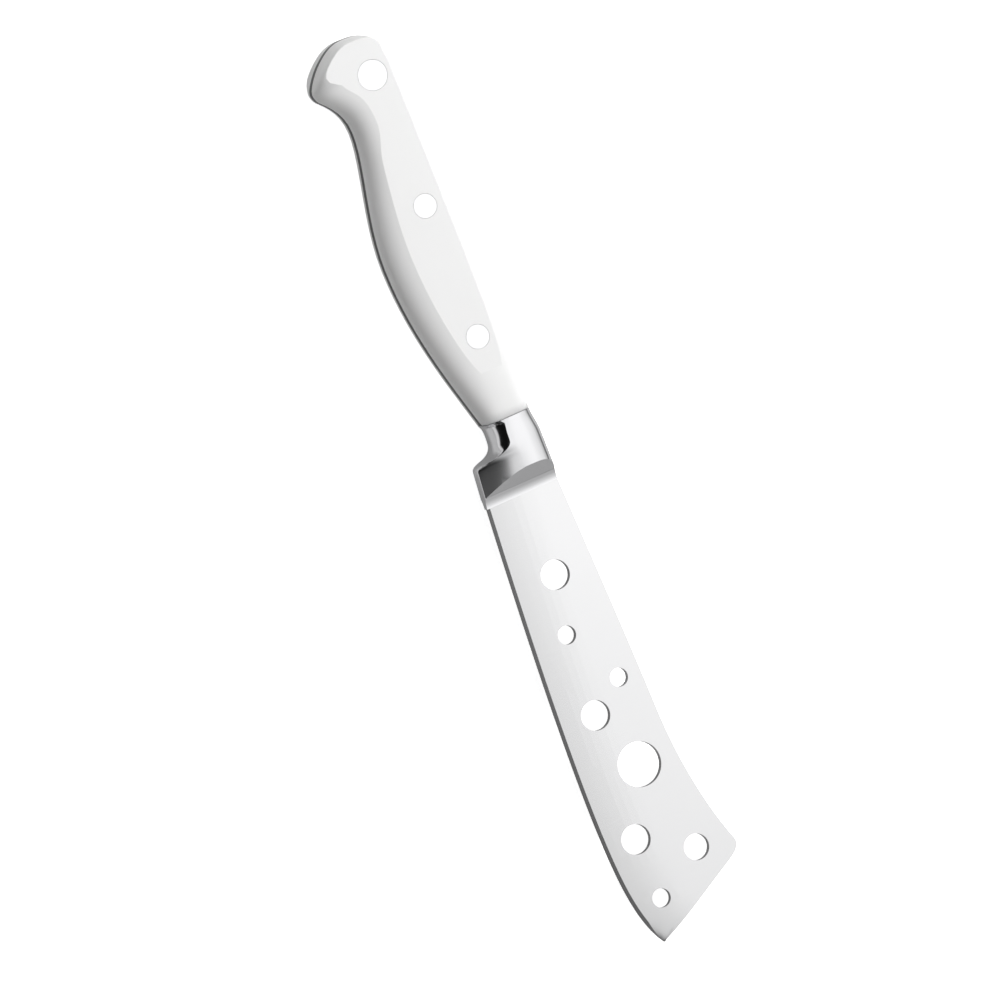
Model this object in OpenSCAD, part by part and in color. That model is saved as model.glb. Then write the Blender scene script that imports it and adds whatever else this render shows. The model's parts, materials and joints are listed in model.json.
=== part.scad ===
// Cheese knife with a holed blade, a cast bolster and a full tang between two riveted scales.
// The knife lies on one cheek: +X towards the tip, +Y towards the spine, +Z up.
// Outlines are drawn from the butt (x = 0) and from the back of the handle (y = 0).

/* [Lengths] */
// Length of the handle scales, from the butt to the bolster
handle_len = 107; // [100:0.5:114]
// Length of the bolster
bolster_len = 20.5; // [19:0.5:23]
// Length of the blade in front of the bolster
blade_len = 122.5; // [110:0.5:135]

/* [Handle outline] */
// Depth of the handle at the bolster, below its back
joint_depth = 13; // [12.5:0.1:14.5]
// Distance of the palm swell from the butt
belly_x = 60; // [52:0.5:68]
// Depth of the palm swell
belly_depth = 21.6; // [19:0.1:24]
// Distance of the waist from the butt
waist_x = 23.5; // [21.5:0.5:28]
// Depth of the waist
waist_depth = 15.9; // [14.6:0.1:17.4]
// Distance of the hook's point from the butt
hook_x = 10.2; // [9.2:0.1:11.2]
// Depth of the hook's point
hook_depth = 22.2; // [21.1:0.1:23.4]
// Depth at which the butt reaches furthest back
butt_depth = 9.5; // [8:0.1:11]

/* [Handle section] */
// Thickness over the two flat cheeks
handle_thick = 14; // [12.8:0.1:15.5]
// Height that the crown would stand above the flat cheek before it is ground flat
crown_over = 0.8; // [0.6:0.05:1]
// Thickness of handle and bolster where they meet
joint_thick = 12.6; // [11.6:0.1:13.2]
// Depth of the crown's ridge below the back
ridge_depth = 7; // [6.6:0.1:7.8]
// How much lower the crown is at the waist
waist_dip = 0.58; // [0.3:0.01:0.65]
// How far the shoulder at the butt leans in for each millimetre of height
butt_draft = 0.1; // [0:0.01:0.15]

/* [Tang] */
// Thickness of the tang
tang_thick = 2; // [1.6:0.1:2.6]
// Length of the tang's tongue inside the bolster
tang_tongue_len = 8.5; // [6:0.5:9]
// Width of the tang's tongue
tang_tongue_w = 7; // [5:0.5:8]

/* [Rivets] */
// Distance of the butt rivet from the butt
rivet_x = 11; // [10:0.1:12]
// Distance from one rivet to the next
rivet_pitch = 36.7; // [34:0.1:38]
// Depth of the rivets below the back
rivet_depth = 6.8; // [6.4:0.1:8]
// Diameter of the butt rivet's heads
butt_head_d = 8.1; // [7:0.1:9]
// Diameter of the other rivets' heads
head_d = 6.4; // [5.8:0.1:7.5]
// Thickness of the rivet heads
head_thick = 2.2; // [1.8:0.1:2.6]
// Outside diameter of the rivets' barrels
barrel_d = 4.8; // [4.4:0.1:5.2]
// Diameter of the rivets' posts
post_d = 3; // [2.4:0.1:3.4]
// Gap round the rivets in their bores, and round the posts in their barrels
rivet_gap = 0.05; // [0.03:0.01:0.1]

/* [Bolster] */
// Height of the finger notch's top below the back
notch_depth = 12.6; // [12:0.1:13.5]
// Distance of the finger guard's point from the scales
guard_x = 10.4; // [9.8:0.1:11]
// Depth of the finger guard's point
guard_depth = 19.1; // [18:0.1:19.9]
// Thickness of the finger guard along its lower edge
guard_thick = 3.7; // [3:0.1:4.5]
// Loss of thickness of the bolster for each millimetre of its length
bolster_taper = 0.15; // [0.1:0.01:0.2]
// Slope of the ramp that runs down to the blade
ramp_angle = 40; // [34:1:48]
// Radius of the fillet at the ramp's foot
ramp_r = 5; // [3:0.5:6]
// Height of the ramp's foot above the flat of the blade
ramp_lip = 0.1; // [0.08:0.01:0.2]
// Gap round the two tongues in the bolster's slots
slot_gap = 0.1; // [0.05:0.01:0.2]

/* [Blade] */
// Thickness of the blade at the spine
blade_thick = 2; // [1.6:0.1:2.6]
// Height of the blade's spine above the handle's back, at the bolster
spine_rise = 0.8; // [0.4:0.1:1.6]
// Height of the nose corner above the handle's back
corner_rise = 9.4; // [8:0.1:11]
// Distance of the nose corner behind the tip
corner_back = 15; // [13:0.5:18]
// Depth of the cutting edge at the bolster
heel_depth = 20.1; // [19.7:0.1:21]
// Depth of the cutting edge at its lowest
edge_depth = 24.95; // [24.2:0.05:26.5]
// Distance of the edge's lowest place behind the tip
edge_back = 36; // [30:0.5:42]
// Depth of the tip
tip_depth = 19.1; // [18:0.1:20.5]
// Width of the convex grind above the edge
grind_w = 13; // [9:0.5:15]
// Width of the sharpened bevel
bevel_w = 1; // [0.7:0.1:1.4]
// Thickness at the bevel's upper line
bevel_thick = 0.7; // [0.5:0.05:0.9]
// Thickness of the cutting edge itself
edge_thick = 0.1; // [0.08:0.01:0.16]
// Length of the blade's tongue inside the bolster
blade_tongue_len = 9; // [7:0.5:9.5]
// Width of the blade's tongue
blade_tongue_w = 13; // [10:0.5:14]

/* [Blade holes] */
// Diameter of the three small holes
hole_small_d = 5; // [4:0.1:6]
// Diameter of the hole at the nose
hole_nose_d = 7; // [6:0.1:8]
// Diameter of the three middling holes
hole_mid_d = 8; // [7:0.1:9]
// Diameter of the large hole
hole_large_d = 12; // [10:0.1:13.5]

/* [Hidden] */
steel = "#c9cbce";
satin_steel = "#dcdee0";
white = "#f2f2f1";

bolster_end = handle_len + bolster_len;
overall_len = bolster_end + blade_len;
cheek_z = handle_thick/2;
joint_z = joint_thick/2;
face_z = tang_thick/2;
blade_z = blade_thick/2;
// Height from the underside of the rivet heads to the middle of the knife
seat_z = cheek_z - head_thick;
// Length over which the crown falls away towards the bolster
crown_run = 18;
// Length of the waist's dip in the crown, each way, and how far its middle lies behind the waist
dip_run = 9.5;
dip_back = 3.5;
// Roundness of the section: a larger value is a squarer shoulder
edge_power = 2.6;
back_power = 4;
butt_power = 12;
notch_power = 1.55;
guard_power = 1.3;
// Steps round the shoulder of a section
cols = 10;
eps = 0.01;

// Points of a cubic curve without its last one
function bez(p, t) = p[0]*pow(1 - t, 3) + 3*p[1]*t*pow(1 - t, 2) + 3*p[2]*t*t*(1 - t) + p[3]*t*t*t;
function curve(p, n) = [for (i = [0:n - 1]) bez(p, i/n)];
function mix(a, b, t) = a + (b - a)*max(0, min(1, t));
function mix_point(a, b, t) = a + (b - a)*t;
function smooth(t) = let (c = max(0, min(1, t))) c*c*(3 - 2*c);

// Handle: the edge side from the bolster to the hook, then round the butt to the back
joint_slope = 0.267;
belly_reach = handle_len - belly_x;
waist_reach = belly_x - waist_x;
belly_run = [
    [handle_len, -joint_depth],
    [handle_len - 0.255*belly_reach, -joint_depth - 0.255*belly_reach*joint_slope],
    [belly_x + 0.4*belly_reach, -belly_depth],
    [belly_x, -belly_depth]];
waist_run = [
    [belly_x, -belly_depth],
    [belly_x - 0.38*waist_reach, -belly_depth],
    [waist_x + 0.26*waist_reach, -waist_depth],
    [waist_x, -waist_depth]];
flank = [hook_x + 3.2, -hook_depth + 1.6];
flank_run = [
    [waist_x, -waist_depth],
    [waist_x - 5, -waist_depth],
    flank + [2.2, 2.2],
    flank];
hook_run = [
    flank,
    flank - [0.8, 1],
    [hook_x + 1.2, -hook_depth],
    [hook_x, -hook_depth]];
shin = [hook_x - 6, -hook_depth + 4.1];
tip_run = [
    [hook_x, -hook_depth],
    [hook_x - 1.4, -hook_depth],
    shin + [1.6, -1.7],
    shin];
shin_run = [
    shin,
    shin + [-2.1, 2.4],
    [0, -butt_depth - 3.5],
    [0, -butt_depth]];
butt_run = [
    [0, -butt_depth],
    [0, -0.36*butt_depth],
    [0.12*hook_x, 0],
    [hook_x, 0]];

edge_pts = concat(curve(belly_run, 15), curve(waist_run, 11), curve(flank_run, 6), curve(hook_run, 4));
fan_pts = concat(curve(tip_run, 5), curve(shin_run, 6), curve(butt_run, 9), [[hook_x, 0]]);
edge_n = len(edge_pts);
fan_n = len(fan_pts);
back_pts = [for (i = [edge_n - 1:-1:0]) [edge_pts[i].x, 0]];
handle_pts = concat(edge_pts, fan_pts, back_pts);
spoke_n = len(handle_pts);

// Height of the crown along the handle. Only the edge side dips at the waist
function back_crown(x) = joint_z + (cheek_z + crown_over - joint_z)*(1 - exp(-(handle_len - x)/crown_run));
function crown(x) = back_crown(x) - waist_dip*exp(-pow((x - waist_x + dip_back)/dip_run, 4));
// Each outline point looks to a point of the ridge, all of the butt's to the same one
function ridge_i(j) = j < edge_n ? j : (j < edge_n + fan_n ? edge_n : spoke_n - 1 - j);
function ridge_x(i) = i < edge_n ? edge_pts[i].x : hook_x;
// Share of the way round the butt from the hook's point to the back
function butt_share(j) = max(0, min(1, (j - edge_n)/(fan_n - 1)));
// How much of the butt's steep shoulder a point has: it grows in from the hook's point on
function steep(j) = let (t = butt_share(j)) max(0, min(1, pow(t/0.22, 2), (0.9 - t)/0.2));
function spoke_power(j) = mix(2*j < spoke_n ? edge_power : back_power, butt_power, steep(j));
function leant(v, h) = h == 0 ? v : v - v/norm(v)*h;

// A rounded shoulder: share of the way out and share of the height at angle a
function shoulder_out(a, p) = pow(cos(a), 2/p);
function shoulder_up(a, p) = pow(sin(a), 2/p);
function flat_angle(h, p) = asin(pow(min(1, (cheek_z - face_z)/(h - face_z)), p/2));

// A triangle that has lost a corner is left out
function tri(a, b, c) = (a == b || b == c || a == c) ? [] : [[a, b, c]];
function quad(a, b, c, d) = concat(tri(a, b, c), tri(a, c, d));
function flat_list(l) = [for (a = l) for (b = a) b];

// One scale: its shoulder rises from the tang to the ground cheek or, near the bolster, to the ridge
module scale_blank() {
    spokes = [for (j = [0:spoke_n - 1]) let (
        k = [ridge_x(ridge_i(j)), -ridge_depth],
        h = mix(crown(k.x), back_crown(k.x), butt_share(j)),
        p = spoke_power(j),
        a_end = flat_angle(h, p))
        [for (c = [0:cols]) let (
            a = a_end*c/cols,
            rise = (h - face_z)*shoulder_up(a, p),
            xy = k + leant((handle_pts[j] - k)*shoulder_out(a, p), butt_draft*steep(j)*rise))
            [xy.x, xy.y, face_z + rise]]];
    ridge_top = [for (i = [0:edge_n]) [ridge_x(i), -ridge_depth, min(cheek_z, crown(ridge_x(i)))]];
    ridge_low = [for (i = [0:edge_n]) [ridge_x(i), -ridge_depth, face_z]];
    top_0 = spoke_n*(cols + 1);
    low_0 = top_0 + edge_n + 1;
    function has_flat(j) = crown(ridge_x(ridge_i(j))) > cheek_z + eps;
    function at(j, c) = c > cols || (c == cols && !has_flat(j)) ? top_0 + ridge_i(j) : j*(cols + 1) + c;
    shoulder_faces = [for (j = [0:spoke_n - 2]) for (c = [0:cols])
        quad(at(j, c), at(j, c + 1), at(j + 1, c + 1), at(j + 1, c))];
    low_faces = [for (j = [0:spoke_n - 2])
        quad(at(j, 0), at(j + 1, 0), low_0 + ridge_i(j + 1), low_0 + ridge_i(j))];
    last = spoke_n - 1;
    joint_face = concat(
        [for (c = [0:cols + 1]) if (c <= cols || has_flat(0)) at(0, c)],
        [for (c = [cols:-1:0]) if (c < cols || has_flat(last)) at(last, c)],
        [low_0]);
    polyhedron(
        points = concat(flat_list(spokes), ridge_top, ridge_low),
        faces = concat(flat_list(shoulder_faces), flat_list(low_faces), [[for (i = [len(joint_face) - 1:-1:0]) joint_face[i]]]));
}

// The knife is drawn round its own middle plane and then laid on its lower cheek
module lay() {
    translate([-overall_len/2, (edge_depth - corner_rise)/2, cheek_z]) children();
}

module at_rivet(i) {
    translate([rivet_x + i*rivet_pitch, -rivet_depth, 0]) children();
}

function rivet_head(i) = i == 0 ? butt_head_d : head_d;

// Bores of the three rivets in the upper scale
module scale_bores() {
    for (i = [0:2]) at_rivet(i) {
        cylinder(d = barrel_d + 2*rivet_gap, h = cheek_z + 1, $fn = 48);
        translate([0, 0, seat_z])
            cylinder(d = rivet_head(i) + 2*rivet_gap, h = head_thick + 1, $fn = 64);
    }
}

module scale() {
    difference() {
        scale_blank();
        scale_bores();
    }
}

module upper_scale() {
    color(white) lay() scale();
}

module lower_scale() {
    color(white) lay() mirror([0, 0, 1]) scale();
}

// Middle of both tongues, level with the middle of the bolster
tongue_y = -(notch_depth - spine_rise)/2;
blade_tongue_y = -(heel_depth - spine_rise)/2;

module tang() {
    color(steel) lay() difference() {
        union() {
            linear_extrude(height = tang_thick, center = true) polygon(handle_pts);
            translate([handle_len - 1, tongue_y - tang_tongue_w/2, -face_z])
                cube([tang_tongue_len + 1, tang_tongue_w, tang_thick]);
        }
        for (i = [0:2]) at_rivet(i)
            cylinder(d = barrel_d + 2*rivet_gap, h = tang_thick + 2, center = true, $fn = 48);
    }
}

// The post half: a head in the upper cheek and a post down to the other half
post_end = -seat_z + 1.2;
barrel_end = seat_z - 0.4;

module rivet_post(i) {
    color(steel) lay() at_rivet(i) union() {
        translate([0, 0, seat_z]) cylinder(d = rivet_head(i), h = head_thick, $fn = 64);
        translate([0, 0, post_end]) cylinder(d = post_d, h = seat_z - post_end + eps, $fn = 48);
    }
}

// The socket half: a head in the lower cheek and a barrel that takes the post
module rivet_socket(i) {
    color(steel) lay() at_rivet(i) difference() {
        union() {
            translate([0, 0, -cheek_z]) cylinder(d = rivet_head(i), h = head_thick, $fn = 64);
            translate([0, 0, -seat_z - eps]) cylinder(d = barrel_d, h = seat_z + barrel_end + eps, $fn = 48);
        }
        translate([0, 0, post_end - 0.6])
            cylinder(d = post_d + 2*rivet_gap, h = barrel_end - post_end + 2, $fn = 48);
    }
}

module butt_rivet_post() { rivet_post(0); }
module butt_rivet_socket() { rivet_socket(0); }
module middle_rivet_post() { rivet_post(1); }
module middle_rivet_socket() { rivet_socket(1); }
module front_rivet_post() { rivet_post(2); }
module front_rivet_socket() { rivet_socket(2); }

// Bolster: lower outline over the finger notch and down to the guard
guard = [handle_len + guard_x, -guard_depth];
notch = [handle_len + 0.54*guard_x, -notch_depth - 0.1];
notch_run = [
    [handle_len, -joint_depth],
    [handle_len + 2.4, -joint_depth + 0.62],
    notch + [-1.6, 0.12],
    notch];
web = [guard.x - 1.6, -mix(notch_depth, guard_depth, 0.62)];
web_run = [
    notch,
    notch + [1.9, -0.3],
    web + [-0.35, 1.7],
    web];
guard_run = [
    web,
    web + [0.3, -1.4],
    guard + [-0.8, 0.05],
    guard];
foot_run = [
    guard,
    [mix(guard.x, bolster_end, 0.33), -mix(guard_depth, heel_depth, 0.33)],
    [mix(guard.x, bolster_end, 0.67), -mix(guard_depth, heel_depth, 0.67)],
    [bolster_end, -heel_depth]];
bolster_low = concat(curve(notch_run, 7), curve(web_run, 9), curve(guard_run, 6), curve(foot_run, 6),
    [[bolster_end, -heel_depth]]);
function bolster_t(x) = (x - handle_len)/bolster_len;
// Its back rises to the spine's line within the first third
function bolster_back(x) = spine_rise*smooth(3*bolster_t(x));
// Share of the way from the scales to the guard's point
function guard_share(x) = (x - handle_len)/guard_x;

// A crease parts the rounding over the notch from the upper face. It starts on the scales' section,
// follows the notch and runs out at the guard's point. Its place is a share of the way to the lower edge
crease_step = cols - 1;
crease_a = 90*crease_step/cols;
crease_notch = 0.33;
crease_guard = 0.985;
top_steps = 5;
function crease_share(x) = let (u = guard_share(x))
    mix(mix(shoulder_out(crease_a, edge_power), crease_notch, u/0.35), crease_guard, smooth((u - 0.58)/0.42));
// Share of the height that the upper face has lost at the crease, and how its slope grows towards it
function crease_fall(e) = max(1 - shoulder_up(crease_a, edge_power), pow(e, 5));
fall_power = 1.6;

// One station of the bolster, from the middle of its lower edge over the top to its back
function bolster_half(q) = let (
    u = guard_share(q.x),
    h = joint_z - bolster_taper/2*(q.x - handle_len),
    low_z = mix(face_z, guard_thick/2, smooth(1.1*u - 0.1)),
    p = mix(mix(edge_power, notch_power, u/0.05), guard_power, smooth(2.5*u - 1.5)),
    e = crease_share(q.x),
    ridge = -ridge_depth,
    crease_y = ridge + (q.y - ridge)*e,
    fall = (h - low_z)*crease_fall(e),
    out_0 = shoulder_out(crease_a, p))
    concat(
        [for (c = [0:crease_step]) let (a = 90*c/cols)
            [q.x, crease_y + (q.y - crease_y)*(shoulder_out(a, p) - out_0)/(1 - out_0),
                low_z + (h - fall - low_z)*shoulder_up(a, p)/shoulder_up(crease_a, p)]],
        [for (i = [1:top_steps]) let (v = 1 - i/top_steps)
            [q.x, ridge + (crease_y - ridge)*v, h - fall*pow(v, fall_power)]],
        [for (c = [cols - 1:-1:0]) let (a = 90*c/cols)
            [q.x, ridge + (bolster_back(q.x) - ridge)*shoulder_out(a, back_power),
                face_z + (h - face_z)*shoulder_up(a, back_power)]]);
function mirrored(l) = [for (i = [len(l) - 1:-1:0]) [l[i].x, l[i].y, -l[i].z]];

// Skin over equal rings of points, closed at both ends
module loft(rings) {
    m = len(rings[0]);
    n = len(rings);
    sides = [for (r = [0:n - 2]) for (i = [0:m - 1]) let (k = (i + 1)%m)
        quad(r*m + i, r*m + k, (r + 1)*m + k, (r + 1)*m + i)];
    polyhedron(
        points = flat_list(rings),
        faces = concat(flat_list(sides), [[for (i = [m - 1:-1:0]) i]],
            [[for (i = [0:m - 1]) (n - 1)*m + i]]));
}

// Side view of the bolster: full height, then a ramp and a fillet down to the blade
foot_z = blade_z + ramp_lip;
ramp_side = concat(
    [for (a = [0:5:ramp_angle]) [bolster_end - ramp_r*sin(a), foot_z + ramp_r*(1 - cos(a))]],
    [let (z = foot_z + ramp_r*(1 - cos(ramp_angle)))
        [bolster_end - ramp_r*sin(ramp_angle) - (cheek_z - z)/tan(ramp_angle), cheek_z]],
    [[handle_len - 1, cheek_z]]);

module ramp_block() {
    rotate([90, 0, 0]) linear_extrude(height = 4*edge_depth, center = true)
        polygon(concat(ramp_side, [for (i = [len(ramp_side) - 1:-1:0]) [ramp_side[i].x, -ramp_side[i].y]]));
}

module bolster() {
    color(steel) lay() difference() {
        intersection() {
            loft([for (q = bolster_low) let (half = bolster_half(q)) concat(half, mirrored(half))]);
            ramp_block();
        }
        translate([handle_len - 1, tongue_y - tang_tongue_w/2 - slot_gap, -face_z - slot_gap])
            cube([tang_tongue_len + 1 + slot_gap, tang_tongue_w + 2*slot_gap, tang_thick + 2*slot_gap]);
        translate([bolster_end - blade_tongue_len - slot_gap,
                blade_tongue_y - blade_tongue_w/2 - slot_gap, -blade_z - slot_gap/2])
            cube([blade_tongue_len + slot_gap + 1, blade_tongue_w + 2*slot_gap, blade_thick + slot_gap]);
    }
}

// Blade: lower and upper outlines, both read at the same stations
edge_low = [overall_len - edge_back, -edge_depth];
edge_reach = edge_low.x - bolster_end;
tip = [overall_len, -tip_depth];
heel_run = [
    [bolster_end, -heel_depth],
    [bolster_end + 0.28*edge_reach, -mix(heel_depth, edge_depth, 0.42)],
    [edge_low.x - 0.28*edge_reach, -edge_depth],
    edge_low];
tip_edge_run = [
    edge_low,
    [edge_low.x + 0.42*edge_back, -edge_depth],
    [tip.x - 0.21*edge_back, -mix(tip_depth, edge_depth, 0.89)],
    tip];
blade_low = concat(curve(heel_run, 30), curve(tip_edge_run, 30), [tip]);

corner = [overall_len - corner_back, corner_rise + 0.6];
nose = tip - corner;
nose_swell = 0.6;
sweep = [corner.x - 39, spine_rise + 1.7];
spine_run = [
    [bolster_end, spine_rise],
    [mix(bolster_end, sweep.x, 0.33), mix(spine_rise, sweep.y, 0.42)],
    [mix(bolster_end, sweep.x, 0.7), mix(spine_rise, sweep.y, 0.9)],
    sweep];
corner_in = corner - [2.6, 1.1];
corner_out = corner + 0.16*nose;
sweep_run = [
    sweep,
    sweep + [10, 0.3],
    corner_in - [12, 4.4],
    corner_in];
corner_run = [
    corner_in,
    corner - [0.9, 0.3],
    corner + 0.05*nose,
    corner_out];
// The front edge swells by a fraction of a millimetre near the tip
nose_run = [
    corner_out,
    mix_point(corner_out, tip, 0.33),
    mix_point(corner_out, tip, 0.7) + [nose_swell, 0.4*nose_swell],
    tip];
blade_top = concat(curve(spine_run, 20), curve(sweep_run, 20), curve(corner_run, 8), curve(nose_run, 6), [tip]);

function low_y(x) = lookup(x, blade_low);
function top_y(x) = lookup(x, blade_top);

// Half thickness at distance d above the cutting edge
function grind_z(d) = d <= bevel_w
    ? mix(edge_thick/2, bevel_thick/2, d/bevel_w)
    : mix(bevel_thick/2, blade_z, 1 - pow(1 - min(1, (d - bevel_w)/grind_w), 2));
grind_steps = [0, bevel_w, for (i = [1:6]) bevel_w + grind_w*i/6];
grind_top = bevel_w + grind_w;

// The square end of the tip is a fraction of a millimetre high
tip_end = 0.3;
function blade_ring(x) = let (
    lift = max(tip_end, top_y(x) - low_y(x)),
    slope = (low_y(x + 0.5) - low_y(x - 0.5)),
    lean = 1/sqrt(1 + slope*slope),
    squeeze = min(1, lift*lean/(grind_top + 1.5)),
    half = concat(
        [for (d = grind_steps) [x, low_y(x) + d*squeeze/lean, grind_z(d*squeeze)]],
        [[x, low_y(x) + lift, grind_z(lift*lean)]]))
    concat(half, mirrored(half));

corner_start = corner_in.x - 3;
blade_x = concat(
    [for (i = [0:23]) mix(bolster_end, corner_start, i/24)],
    [for (i = [0:8]) mix(corner_start, corner_out.x, i/9)],
    [for (i = [0:9]) mix(corner_out.x, overall_len - 0.4, i/10)],
    [overall_len - 0.4, overall_len]);

// Holes: share of the blade's length, share of its width above the edge, diameter
holes = [
    [0.186, 0.528, hole_mid_d],
    [0.314, 0.412, hole_small_d],
    [0.442, 0.763, hole_small_d],
    [0.496, 0.398, hole_mid_d],
    [0.630, 0.620, hole_large_d],
    [0.774, 0.287, hole_mid_d],
    [0.842, 0.700, hole_nose_d],
    [0.911, 0.306, hole_small_d]];

module blade() {
    color(satin_steel) lay() difference() {
        union() {
            loft([for (x = blade_x) blade_ring(x)]);
            translate([bolster_end - blade_tongue_len, blade_tongue_y - blade_tongue_w/2, -blade_z])
                cube([blade_tongue_len, blade_tongue_w, blade_thick]);
        }
        for (h = holes) let (x = bolster_end + h[0]*blade_len)
            translate([x, mix(low_y(x), top_y(x), h[1]), 0])
                cylinder(d = h[2], h = blade_thick + 2, center = true, $fn = 64);
    }
}

blade();
bolster();
tang();
upper_scale();
lower_scale();
front_rivet_post();
front_rivet_socket();
middle_rivet_post();
middle_rivet_socket();
butt_rivet_post();
butt_rivet_socket();
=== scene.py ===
"""Looks of a cheese knife with a holed blade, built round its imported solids.

Each piece is a merged, smoothed copy of its solid with its edges broken, and a finish of its own.
"""

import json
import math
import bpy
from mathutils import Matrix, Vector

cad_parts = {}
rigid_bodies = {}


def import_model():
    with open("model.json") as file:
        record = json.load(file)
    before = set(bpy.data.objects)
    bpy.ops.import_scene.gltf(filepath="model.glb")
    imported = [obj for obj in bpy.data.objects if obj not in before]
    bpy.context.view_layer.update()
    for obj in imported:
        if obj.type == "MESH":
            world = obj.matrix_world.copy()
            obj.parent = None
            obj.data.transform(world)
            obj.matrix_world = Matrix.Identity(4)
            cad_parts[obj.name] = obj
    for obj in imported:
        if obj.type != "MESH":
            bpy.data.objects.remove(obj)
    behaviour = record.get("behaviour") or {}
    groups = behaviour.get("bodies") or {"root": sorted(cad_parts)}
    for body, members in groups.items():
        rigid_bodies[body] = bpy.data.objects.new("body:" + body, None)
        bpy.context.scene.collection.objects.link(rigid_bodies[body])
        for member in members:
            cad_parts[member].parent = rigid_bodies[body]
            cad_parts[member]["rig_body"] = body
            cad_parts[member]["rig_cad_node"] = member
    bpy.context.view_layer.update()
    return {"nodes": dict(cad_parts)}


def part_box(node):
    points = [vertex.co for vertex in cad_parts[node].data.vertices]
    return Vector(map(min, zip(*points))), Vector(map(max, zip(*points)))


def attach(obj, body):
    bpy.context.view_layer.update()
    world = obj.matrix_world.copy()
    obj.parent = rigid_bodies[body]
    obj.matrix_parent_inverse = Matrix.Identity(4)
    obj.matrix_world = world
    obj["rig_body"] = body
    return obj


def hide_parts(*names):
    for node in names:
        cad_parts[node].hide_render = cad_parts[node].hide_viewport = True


bl_info = {
    "name": "Cheese Knife",
    "version": (1, 0, 0),
    "blender": (4, 5, 0),
    "location": "3D View > Sidebar > Cheese Knife",
    "description": "Dresses a cheese knife in satin and polished steel with a white riveted handle",
    "category": "Object",
}

import bpy
from mathutils import Matrix, Vector

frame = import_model()
MM = 0.001
NEAR = 0.01 * MM        # points closer than this count as being at one place
FILM_WIDTH = 36.0       # millimetres
BLACK, WHITE = (0.0, 0.0, 0.0, 1.0), (1.0, 1.0, 1.0, 1.0)


# Settings

class SteelSettings(bpy.types.PropertyGroup):
    """Finishes of the steel pieces"""
    blade_colour: bpy.props.FloatVectorProperty(
        name="Blade colour", description="Colour of the satin steel",
        subtype="COLOR", default=(0.78, 0.78, 0.785))
    polished_colour: bpy.props.FloatVectorProperty(
        name="Polished colour", description="Colour of the mirror-polished steel",
        subtype="COLOR", default=(0.8, 0.8, 0.805))
    # painted shade: the tang's steel is near black, standing in for the shade between the two
    # scales
    tang_shade_colour: bpy.props.FloatVectorProperty(
        name="Tang colour", description="Colour of the belt-ground steel between the scales",
        subtype="COLOR", default=(0.14, 0.14, 0.143))
    blade_roughness: bpy.props.FloatProperty(
        name="Blade roughness", description="Mean roughness of the satin grind",
        default=0.21, min=0.1, max=0.6)
    polished_roughness: bpy.props.FloatProperty(
        name="Polished roughness", description="Mean roughness of the polished steel",
        default=0.07, min=0.02, max=0.3)
    rim: bpy.props.FloatProperty(
        name="Broken edge", description="Width of the blade's broken edges",
        default=0.1 * MM, min=0.0, max=0.4 * MM, unit="LENGTH")
    head_rim: bpy.props.FloatProperty(
        name="Broken edge of a rivet", description="Width of the broken edge round a rivet head",
        default=0.04 * MM, min=0.0, max=0.2 * MM, unit="LENGTH")


class HandleSettings(bpy.types.PropertyGroup):
    """Finish of the two scales"""
    colour: bpy.props.FloatVectorProperty(
        name="Scale colour", description="Colour of the white polymer",
        subtype="COLOR", default=(0.93, 0.93, 0.927))
    roughness: bpy.props.FloatProperty(
        name="Scale roughness", description="Mean roughness of the buffed polymer",
        default=0.4, min=0.1, max=0.8)
    joint_line: bpy.props.FloatProperty(
        name="Joint line", description="Width of the hairline between a scale and the bolster",
        default=0.2 * MM, min=0.0, max=0.4 * MM, unit="LENGTH")
    joint_slope: bpy.props.FloatProperty(
        name="Joint slope", description="How far the sloped rim along the hairline reaches inwards",
        default=0.9 * MM, min=0.0, max=2 * MM, unit="LENGTH")
    soft_angle: bpy.props.FloatProperty(
        name="Smooth angle",
        description="Faces that meet at less than this are shaded as one surface",
        subtype="ANGLE", default=math.radians(38))


class StageSettings(bpy.types.PropertyGroup):
    """Floor, lights and camera"""
    floor_colour: bpy.props.FloatVectorProperty(
        name="Floor colour", description="Colour of the floor",
        subtype="COLOR", default=(0.9, 0.9, 0.9))
    view_tilt: bpy.props.FloatProperty(
        name="View tilt", description="How far the view leans to the edge side",
        subtype="ANGLE", default=math.radians(18.5))
    view_roll: bpy.props.FloatProperty(
        name="View roll", description="How far the knife lies from upright in the picture",
        subtype="ANGLE", default=math.radians(23))
    view_width: bpy.props.FloatProperty(
        name="View width", description="Width of the picture at the knife",
        default=1000 / 3.854 * MM, unit="LENGTH")
    target: bpy.props.FloatVectorProperty(
        name="Target", description="Point in the middle of the picture",
        subtype="TRANSLATION", default=(1.65 * MM, -7.83 * MM, 7 * MM))
    lens: bpy.props.FloatProperty(
        name="Lens", description="Focal length, in millimetres of a 36 mm frame",
        default=800, min=50, max=2000)
    floor_glow: bpy.props.FloatProperty(
        name="Floor glow",
        description="Light that the floor gives off by itself where the camera sees it",
        default=0.85, min=0.0, max=2.0)
    key_power: bpy.props.FloatProperty(
        name="Key power", description="Radiance of a panel where its level is 1",
        default=5.7, min=0.0, max=20.0)
    floor_size: bpy.props.FloatProperty(
        name="Floor size", description="Side of the square floor",
        default=12.0, min=1.0, max=50.0, unit="LENGTH")
    panel_height: bpy.props.FloatProperty(
        name="Panel height", description="Height of the panels above the floor",
        default=0.8, min=0.3, max=3.0, unit="LENGTH")
    ring_power: bpy.props.FloatProperty(
        name="Ring power", description="Radiance of the walls near the horizon",
        default=0.5, min=0.0, max=5.0)


# Shader maths

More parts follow.
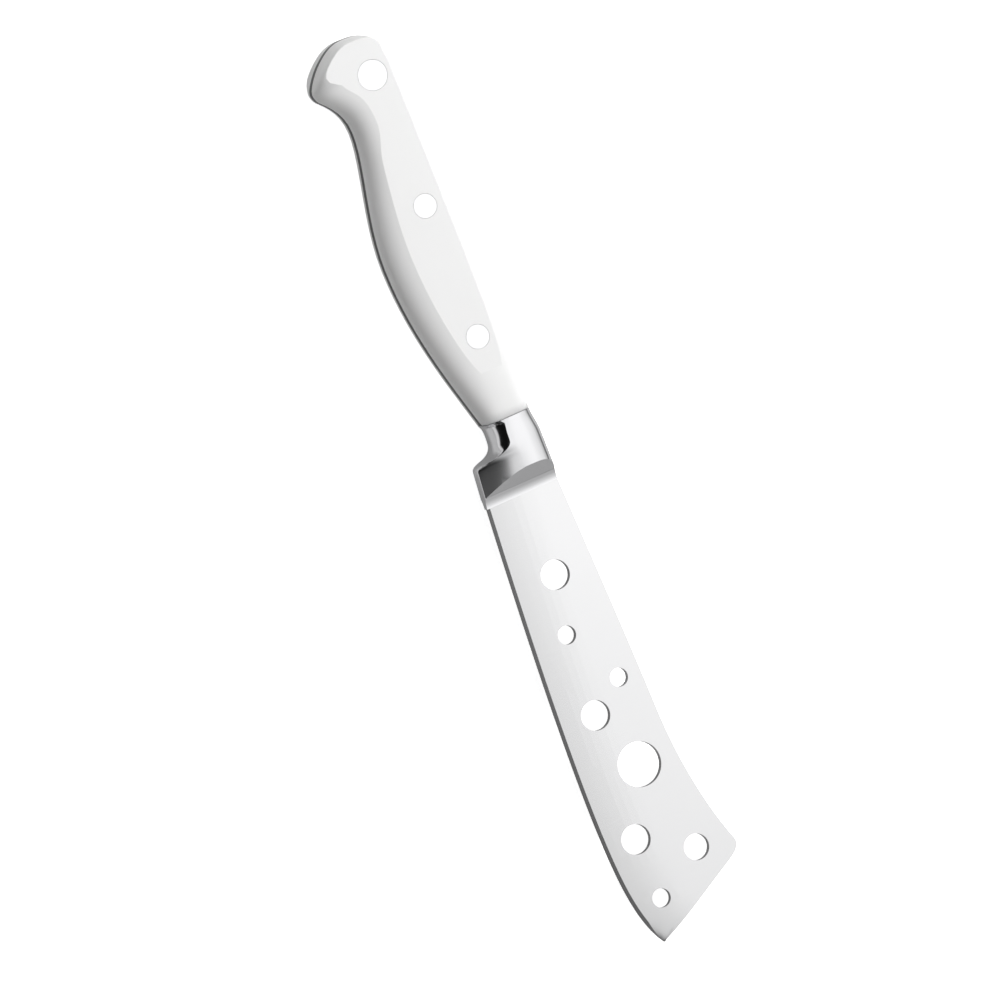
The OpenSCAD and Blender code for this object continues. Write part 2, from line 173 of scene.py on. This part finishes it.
class Value:
    """A number, vector or shader that a node gives. Its operators add maths nodes."""

    def __init__(self, tree, socket):
        self.tree = tree
        self.socket = socket

    def _maths(self, operation, *values):
        return self.tree.add("ShaderNodeMath", {"operation": operation}, dict(enumerate(values)))

    def __add__(self, other):
        return self._maths("ADD", self, other)

    def __radd__(self, other):
        return self._maths("ADD", other, self)

    def __sub__(self, other):
        return self._maths("SUBTRACT", self, other)

    def __rsub__(self, other):
        return self._maths("SUBTRACT", other, self)

    def __mul__(self, other):
        return self._maths("MULTIPLY", self, other)

    def __rmul__(self, other):
        return self._maths("MULTIPLY", other, self)

    def __truediv__(self, other):
        return self._maths("DIVIDE", self, other)

    def __rtruediv__(self, other):
        return self._maths("DIVIDE", other, self)

    def __neg__(self):
        return self._maths("MULTIPLY", self, -1.0)

    def least(self, other):
        """The lesser of the two numbers."""
        return self._maths("MINIMUM", self, other)

    def most(self, other):
        """The greater of the two numbers."""
        return self._maths("MAXIMUM", self, other)


class Nodes:
    """The node tree of a material or the world."""

    def __init__(self, holder):
        holder.use_nodes = True
        self.nodes = holder.node_tree.nodes
        self.links = holder.node_tree.links
        self.nodes.clear()

    def add(self, kind, settings=None, values=None, output=0):
        """Adds a node: settings first, then the values or links of its sockets. It gives one
        of the node's outputs, by index or name, or the node itself if it has none.
        """
        node = self.nodes.new(kind)
        for name, setting in (settings or {}).items():
            setattr(node, name, setting)
        for socket, value in (values or {}).items():
            if isinstance(value, Value):
                self.links.new(value.socket, node.inputs[socket])
            else:
                node.inputs[socket].default_value = value
        return Value(self, node.outputs[output]) if node.outputs else node

    def levels(self, value, stops):
        """A number read off a soft curve through (value, level) stops. No level is above 1."""
        first, last = stops[0][0], stops[-1][0]
        share = (value - first) / (last - first)
        read = self.add("ShaderNodeValToRGB", {}, {"Fac": share})
        ramp = read.socket.node.color_ramp
        ramp.interpolation = "B_SPLINE"
        while len(ramp.elements) < len(stops):
            ramp.elements.new(1.0)
        for element, (place, level) in zip(ramp.elements, stops):
            element.position = (place - first) / (last - first)
            element.color = (level, level, level, 1.0)
        return read

    def axes(self, vector):
        """The three numbers of a vector."""
        node = self.add("ShaderNodeSeparateXYZ", {}, {"Vector": vector}).socket.node
        return [Value(self, output) for output in node.outputs]

    def place(self):
        """Object coordinates, in metres."""
        return self.add("ShaderNodeTexCoord", output="Object")

    def noise(self, scale, detail=2.0):
        """Noise from 0 to 1. scale is in waves per metre, along X, Y and Z."""
        stretched = self.add("ShaderNodeMapping", {"vector_type": "POINT"},
                             {"Vector": self.place(), "Scale": scale})
        return self.add("ShaderNodeTexNoise", {"noise_dimensions": "3D"}, {
            "Vector": stretched, "Scale": 1.0, "Detail": detail, "Roughness": 0.5})

    def bump(self, strength, distance, height):
        """A normal that follows small heights. distance is in metres."""
        return self.add("ShaderNodeBump", {}, {
            "Strength": strength, "Distance": distance, "Height": height})

    def tint(self, dark, light, share):
        """A colour between two others. The node's colours are its sockets 6, 7 and output 2."""
        return self.add("ShaderNodeMix", {"data_type": "RGBA"},
                        {0: share, 6: dark, 7: light}, output=2)

    def surface(self, shader):
        """Makes a shader the material's surface."""
        self.add("ShaderNodeOutputMaterial", {}, {"Surface": shader})


def shade_of(colour, level):
    """A colour times a number, with an alpha of 1."""
    return (colour[0] * level, colour[1] * level, colour[2] * level, 1.0)


# Materials

def satin_steel(colour, roughness):
    """Sheet steel finished across the blade with a fine belt, with painted shade darkening its
    walls round the holes and along the spine.
    """
    material = bpy.data.materials.new("satin_blade_steel")
    n = Nodes(material)
    fine = n.noise((9000.0, 160.0, 160.0), 3.0)
    broad = n.noise((1400.0, 60.0, 60.0))
    cloud = n.noise((28.0, 40.0, 40.0))
    grind = fine * 0.6 + broad * 0.4
    ground = n.tint(shade_of(colour, 0.96), shade_of(colour, 1.03), grind)
    _, _, upright = n.axes(n.add("ShaderNodeTexCoord", output="Normal"))
    # painted shade: walls of the holes and of the spine get half the steel colour, for the shade
    # inside them
    wall_shade = 1.0 - (upright * upright * 2.0).least(1.0)
    n.surface(n.add("ShaderNodeBsdfPrincipled", {}, {
        "Base Color": n.tint(ground, shade_of(colour, 0.5), wall_shade),
        "Metallic": 1.0,
        "Roughness": roughness - 0.05 + grind * 0.07 + cloud * 0.04,
        "Normal": n.bump(0.35, 0.012 * MM, grind)}))
    return material


def polished_steel(colour, roughness):
    """Mirror-polished steel with the hair-fine marks of use, made once for all its pieces."""
    name = "polished_steel"
    if name in bpy.data.materials:
        return bpy.data.materials[name]
    material = bpy.data.materials.new(name)
    n = Nodes(material)
    cloud = n.noise((90.0, 90.0, 90.0), 3.0)
    hair = n.noise((300.0, 5200.0, 5200.0))
    n.surface(n.add("ShaderNodeBsdfPrincipled", {}, {
        "Base Color": n.tint(shade_of(colour, 0.98), shade_of(colour, 1.02), cloud),
        "Metallic": 1.0,
        "Roughness": roughness - 0.02 + cloud * 0.03 + hair * 0.02,
        "Normal": n.bump(0.06, 0.01 * MM, hair)}))
    return material


def ground_steel(colour):
    """Steel edge that was ground flush with the scales by a belt running along it, darkened near
    black as painted shade.
    """
    material = bpy.data.materials.new("ground_tang_steel")
    n = Nodes(material)
    lines = n.noise((250.0, 250.0, 9000.0), 3.0)
    cloud = n.noise((120.0, 120.0, 120.0))
    share = lines * 0.7 + cloud * 0.3
    n.surface(n.add("ShaderNodeBsdfPrincipled", {}, {
        # painted shade: the near-black colour stands in for the shade in the gap between the scales
        "Base Color": n.tint(shade_of(colour, 0.9), shade_of(colour, 1.06), share),
        "Metallic": 1.0,
        "Roughness": 0.3 + lines * 0.12,
        "Normal": n.bump(0.3, 0.01 * MM, lines)}))
    return material


def white_polymer(colour, roughness):
    """White moulded polymer, buffed to a soft gloss."""
    material = bpy.data.materials.new("white_polymer")
    n = Nodes(material)
    peel = n.noise((700.0, 700.0, 700.0))
    grain = n.noise((2600.0, 5200.0, 5200.0))
    cloud = n.noise((45.0, 60.0, 60.0))
    n.surface(n.add("ShaderNodeBsdfPrincipled", {}, {
        "Base Color": n.tint(shade_of(colour, 0.985), shade_of(colour, 1.01), cloud),
        "Roughness": roughness - 0.03 + grain * 0.06,
        "Specular IOR Level": 0.35,
        "Normal": n.bump(0.25, 0.01 * MM, peel * 0.7 + grain * 0.3)}))
    return material


# Shapes

def only(obj):
    """Makes obj the one selected and active object."""
    bpy.ops.object.select_all(action="DESELECT")
    obj.select_set(True)
    bpy.context.view_layer.objects.active = obj


def copy_of(node, name):
    """A merged copy of a solid, with its flat faces in one piece each."""
    solid = frame["nodes"].get(node)
    if solid is None:
        raise RuntimeError(f"the packed model has no solid named {node}")
    only(solid)
    bpy.ops.object.duplicate()
    piece = bpy.context.view_layer.objects.active
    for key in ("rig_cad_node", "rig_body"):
        del piece[key]
    piece.parent = None
    piece.name = piece.data.name = name
    piece.data.materials.clear()
    bpy.ops.object.mode_set(mode="EDIT")
    bpy.ops.mesh.select_all(action="SELECT")
    bpy.ops.mesh.remove_doubles(threshold=0.001 * MM)
    bpy.ops.mesh.dissolve_limited(angle_limit=math.radians(0.05))
    bpy.ops.mesh.select_all(action="DESELECT")
    bpy.ops.object.mode_set(mode="OBJECT")
    return piece


def edges_where(piece, wanted):
    """The edges between two faces that wanted picks by their ends and the faces' normals."""
    mesh = piece.data
    normals = {}
    for face in mesh.polygons:
        for key in face.edge_keys:
            normals.setdefault(key, []).append(face.normal)
    for edge in mesh.edges:
        ends = [mesh.vertices[i].co for i in edge.vertices]
        beside = normals.get(edge.key, [])
        if len(beside) == 2 and wanted(ends, beside):
            yield edge


def mark_sharp(piece, wanted):
    """Keeps some of the edges crisp when the piece is shaded smooth."""
    for edge in list(edges_where(piece, wanted)):
        edge.use_edge_sharp = True


def break_edges(piece, wanted, width):
    """Gives some of the edges a small chamfer."""
    chosen = [edge.index for edge in edges_where(piece, wanted)]
    weights = piece.data.attributes.new("bevel_weight_edge", "FLOAT", "EDGE")
    for index in chosen:
        weights.data[index].value = 1.0
    only(piece)
    bevel = piece.modifiers.new("broken edge", "BEVEL")
    bevel.limit_method = "WEIGHT"
    bevel.width = width
    bevel.segments = 1
    bpy.ops.object.modifier_apply(modifier=bevel.name)


def finish_piece(piece, node, material, smooth):
    """Dresses one piece, shades it smooth up to an angle in radians, and hands it over."""
    only(piece)
    bpy.ops.object.shade_smooth_by_angle(angle=smooth, keep_sharp_edges=True)
    piece.data.materials.append(material)
    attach(piece, "root")
    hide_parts(node)


def turns(normals, least):
    """True where two faces meet at more than an angle, in degrees."""
    return normals[0].angle(normals[1], 0.0) > math.radians(least)


class KNIFE_OT_blade(bpy.types.Operator):
    """Builds the satin blade with its holes"""
    bl_idname = "knife.blade"
    bl_label = "Blade"

    def execute(self, context):
        steel = context.scene.knife_steel
        material = satin_steel(steel.blade_colour, steel.blade_roughness)
        piece = copy_of("blade", "knife_blade")
        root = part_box("bolster")[1].x

        def rim(ends, normals):
            """Between a wall, such as that of a hole or the spine, and a side of the blade."""
            wall = [abs(n.z) < 0.01 for n in normals]
            outside = all(e.x > root + NEAR for e in ends)
            return outside and wall[0] != wall[1] and turns(normals, 75)

        def at_root(ends, normals):
            """Where the blade leaves the bolster."""
            return all(abs(e.x - root) < NEAR for e in ends)

        break_edges(piece, rim, steel.rim)
        mark_sharp(piece, at_root)
        finish_piece(piece, "blade", material, math.radians(8.5))
        return {"FINISHED"}


class KNIFE_OT_bolster(bpy.types.Operator):
    """Builds the polished bolster"""
    bl_idname = "knife.bolster"
    bl_label = "Bolster"

    def execute(self, context):
        steel = context.scene.knife_steel
        material = polished_steel(steel.polished_colour, steel.polished_roughness)
        piece = copy_of("bolster", "knife_bolster")

        def crisp(ends, normals):
            """The outline of the ramp, which doesn't lean sideways, and the crease over the
            finger notch.
            """
            ramp = [abs(n.y) < 0.0005 for n in normals]
            edge_side = max(n.y for n in normals) < 0.02
            return ramp[0] != ramp[1] or (edge_side and turns(normals, 12.5))

        mark_sharp(piece, crisp)
        finish_piece(piece, "bolster", material, math.radians(24))
        return {"FINISHED"}


class KNIFE_OT_tang(bpy.types.Operator):
    """Builds the tang between the scales"""
    bl_idname = "knife.tang"
    bl_label = "Tang"

    def execute(self, context):
        material = ground_steel(context.scene.knife_steel.tang_shade_colour)
        piece = copy_of("tang", "knife_tang")
        finish_piece(piece, "tang", material, math.radians(30))
        return {"FINISHED"}


def open_joint(piece, front, width, slope):
    """Slopes the rim of a scale's front end back, for a shallow hairline along the bolster."""
    points = piece.data.vertices
    for face in piece.data.polygons:
        face.select = all(abs(points[i].co.x - front) < NEAR for i in face.vertices)
    bpy.ops.object.mode_set(mode="EDIT")
    bpy.ops.mesh.select_mode(type="FACE")
    bpy.ops.transform.translate(value=(-width, 0.0, 0.0))
    bpy.ops.mesh.inset(thickness=slope, depth=0.0)
    bpy.ops.transform.translate(value=(width, 0.0, 0.0))
    bpy.ops.mesh.select_all(action="DESELECT")
    bpy.ops.object.mode_set(mode="OBJECT")


class KNIFE_OT_scales(bpy.types.Operator):
    """Builds the two white scales, with a crisp line round each ground cheek"""
    bl_idname = "knife.scales"
    bl_label = "Scales"

    def execute(self, context):
        handle = context.scene.knife_handle
        material = white_polymer(handle.colour, handle.roughness)

        def crease(ends, normals):
            """Round the ground cheek, the one outer face that is level."""
            level = [abs(n.z) > 0.99999 for n in normals]
            return level[0] != level[1]

        for node in ("upper_scale", "lower_scale"):
            piece = copy_of(node, "knife_" + node)
            open_joint(piece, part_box(node)[1].x, handle.joint_line, handle.joint_slope)
            mark_sharp(piece, crease)
            finish_piece(piece, node, material, handle.soft_angle)
        return {"FINISHED"}


class KNIFE_OT_rivets(bpy.types.Operator):
    """Builds the three rivets, each of a post half and a socket half"""
    bl_idname = "knife.rivets"
    bl_label = "Rivets"

    def execute(self, context):
        steel = context.scene.knife_steel
        material = polished_steel(steel.polished_colour, steel.polished_roughness)
        for place in ("front", "middle", "butt"):
            for half in ("post", "socket"):
                node = f"{place}_rivet_{half}"
                piece = copy_of(node, "knife_" + node)
                low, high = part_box(node)
                outer = high.z if half == "post" else low.z

                def rim(ends, normals):
                    """Round the head."""
                    return all(abs(e.z - outer) < NEAR for e in ends) and turns(normals, 60)

                break_edges(piece, rim, steel.head_rim)
                finish_piece(piece, node, material, math.radians(30))
        return {"FINISHED"}


class KNIFE_OT_stage(bpy.types.Operator):
    """Builds the floor, the lights and the camera"""
    bl_idname = "knife.stage"
    bl_label = "Stage"

    def execute(self, context):
        stage = context.scene.knife_stage
        self.lay_floor(stage)
        self.hang_panels(stage)
        self.light_walls(context, stage)
        self.set_camera(context, stage)
        context.scene.view_settings.view_transform = "Standard"
        return {"FINISHED"}

    def lay_floor(self, stage):
        """A pale floor. The camera sees it white, and the steel mirrors it as a soft grey."""
        bpy.ops.mesh.primitive_plane_add(size=stage.floor_size, location=(0.0, 0.0, -0.02 * MM))
        floor = bpy.context.view_layer.objects.active
        floor.name = "floor"
        material = bpy.data.materials.new("floor_paper")
        n = Nodes(material)
        seen = n.add("ShaderNodeLightPath", output="Is Camera Ray")
        mirrored = n.add("ShaderNodeLightPath", output="Is Glossy Ray")
        colour = stage.floor_colour
        grain = n.noise((900.0, 900.0, 900.0))
        white = n.tint(shade_of(colour, 0.98), shade_of(colour, 1.0), grain)
        glow = seen + (1.0 - seen) * (0.3 - mirrored * 0.1)
        n.surface(n.add("ShaderNodeBsdfPrincipled", {}, {
            "Base Color": n.tint(shade_of(colour, 0.5), white, seen),
            "Roughness": 0.9,
            "Specular IOR Level": 0.1,
            "Emission Color": n.tint(BLACK, WHITE, glow),
            "Emission Strength": stage.floor_glow}))
        floor.data.materials.append(material)

    def hang_panels(self, stage):
        """Two soft panels at one place, dim over the edge side. One lights the knife, brightest
        beyond the spine side. The steel mirrors the other, which is more even, so that no side
        view burns the blade out.
        """
        left, right, near, far = -1.6, 3.0, -0.42, 2.1
        dim = ((near, 0.014), (-0.38, 0.014), (-0.26, 0.016), (-0.17, 0.036))
        lit = self.hang_panel(
            stage, "soft_panel",
            dim + ((-0.1, 0.115), (-0.04, 0.157), (0.1, 0.162), (0.2, 0.162), (0.27, 0.195),
                   (0.33, 0.28), (0.42, 0.66), (0.6, 0.85), (0.9, 0.55), (1.3, 0.25),
                   (1.7, 0.14), (far, 0.08)),
            ((left, 1.0), (0.0, 1.0), (0.11, 0.97), (0.25, 0.86), (0.42, 0.66), (0.61, 0.46),
             (0.9, 0.22), (1.4, 0.12), (right, 0.09)))
        lit.visible_glossy = False
        mirrored = self.hang_panel(
            stage, "mirrored_panel",
            dim + ((-0.1, 0.12), (-0.04, 0.163), (0.1, 0.187), (0.2, 0.222), (0.27, 0.25),
                   (0.35, 0.252), (0.45, 0.22), (0.6, 0.212), (0.8, 0.2), (1.1, 0.165),
                   (1.6, 0.11), (far, 0.08)),
            ((left, 0.45), (-0.7, 0.7), (-0.2, 1.0), (0.0, 1.0), (0.11, 0.96), (0.25, 0.78),
             (0.42, 0.61), (0.61, 0.5), (0.9, 0.41), (1.4, 0.38), (2.0, 0.41), (right, 0.5)))
        mirrored.visible_diffuse = False

    def hang_panel(self, stage, name, across_levels, along_levels):
        """One panel that reaches from the first to the last stop of its levels, each way, and
        gives light by their product. It casts no shadow, and the camera doesn't see it.
        """
        left, right = along_levels[0][0], along_levels[-1][0]
        near, far = across_levels[0][0], across_levels[-1][0]
        middle = Vector(((left + right) / 2, (near + far) / 2, stage.panel_height))
        size = Matrix.Diagonal((right - left, far - near, 1.0, 1.0))
        bpy.ops.mesh.primitive_plane_add(size=1.0, location=(0.0, 0.0, 0.0))
        panel = bpy.context.view_layer.objects.active
        panel.name = name
        panel.data.transform(Matrix.Translation(middle) @ size)
        material = bpy.data.materials.new(name)
        n = Nodes(material)
        along, across, _ = n.axes(n.place())
        level = n.levels(across, across_levels) * n.levels(along, along_levels)
        n.surface(n.add("ShaderNodeEmission", {}, {
            "Color": n.tint(BLACK, WHITE, level), "Strength": stage.key_power}))
        panel.data.materials.append(material)
        panel.visible_camera = panel.visible_shadow = False
        return panel

    def light_walls(self, context, stage):
        """Pale walls near the horizon and a dark ceiling. The camera sees a pale backdrop."""
        world = bpy.data.worlds.new("studio")
        context.scene.world = world
        n = Nodes(world)
        along, across, up = n.axes(n.add("ShaderNodeTexCoord", output="Generated"))
        walls = n.add("ShaderNodeMapRange", {"interpolation_type": "SMOOTHSTEP"}, {
            "Value": up, "From Min": 0.17, "From Max": 0.3,
            "To Min": stage.ring_power, "To Max": 0.004})
        # brighter towards the edge side, dimmer beyond the nose
        facing = 1.0 + (-across).most(0.0) * 0.5 - along.most(0.0) * 0.22
        seen = n.add("ShaderNodeLightPath", output="Is Camera Ray")
        level = walls * facing * (1.0 - seen) + seen
        light = n.add("ShaderNodeBackground", {}, {
            "Color": n.tint(BLACK, WHITE, level), "Strength": 1.0})
        n.add("ShaderNodeOutputWorld", {}, {"Surface": light})

    def set_camera(self, context, stage):
        """A far camera that leans to the edge side, with the blade's nose down to the right."""
        bpy.ops.object.camera_add()
        camera = context.view_layer.objects.active
        camera.name = "camera"
        camera.data.lens = stage.lens
        camera.data.sensor_width = FILM_WIDTH
        camera.data.clip_start = 0.05
        camera.data.clip_end = 60.0
        tilt, roll = stage.view_tilt, stage.view_roll
        right = Vector((math.sin(roll) * math.cos(tilt),
                        math.cos(roll) * math.cos(tilt), math.sin(tilt)))
        up = Vector((-math.cos(roll), math.sin(roll), 0.0))
        back = right.cross(up)
        distance = stage.lens * stage.view_width / FILM_WIDTH
        turn = Matrix((right, up, back)).transposed().to_4x4()
        camera.matrix_world = Matrix.Translation(Vector(stage.target) + back * distance) @ turn
        context.scene.camera = camera


class KNIFE_PT_panel(bpy.types.Panel):
    """Lists the steps in the order in which they are run"""
    bl_label = "Cheese Knife"
    bl_idname = "KNIFE_PT_panel"
    bl_space_type = "VIEW_3D"
    bl_region_type = "UI"
    bl_category = "Cheese Knife"

    def draw(self, context):
        column = self.layout.column()
        for group, settings in SETTINGS.items():
            for name in settings.__annotations__:
                column.prop(getattr(context.scene, group), name)
        for operator in OPERATORS:
            column.operator(operator.bl_idname)


SETTINGS = {
    "knife_steel": SteelSettings,
    "knife_handle": HandleSettings,
    "knife_stage": StageSettings,
}
OPERATORS = (KNIFE_OT_blade, KNIFE_OT_bolster, KNIFE_OT_tang,
             KNIFE_OT_scales, KNIFE_OT_rivets, KNIFE_OT_stage)


def register():
    for cls in (*SETTINGS.values(), *OPERATORS, KNIFE_PT_panel):
        bpy.utils.register_class(cls)
    for name, settings in SETTINGS.items():
        setattr(bpy.types.Scene, name, bpy.props.PointerProperty(type=settings))


def unregister():
    for name in SETTINGS:
        delattr(bpy.types.Scene, name)
    for cls in reversed((*SETTINGS.values(), *OPERATORS, KNIFE_PT_panel)):
        bpy.utils.unregister_class(cls)


def main():
    register()
    bpy.ops.knife.blade()
    bpy.ops.knife.bolster()
    bpy.ops.knife.tang()
    bpy.ops.knife.scales()
    bpy.ops.knife.rivets()
    bpy.ops.knife.stage()


if __name__ == "__main__":
    main()
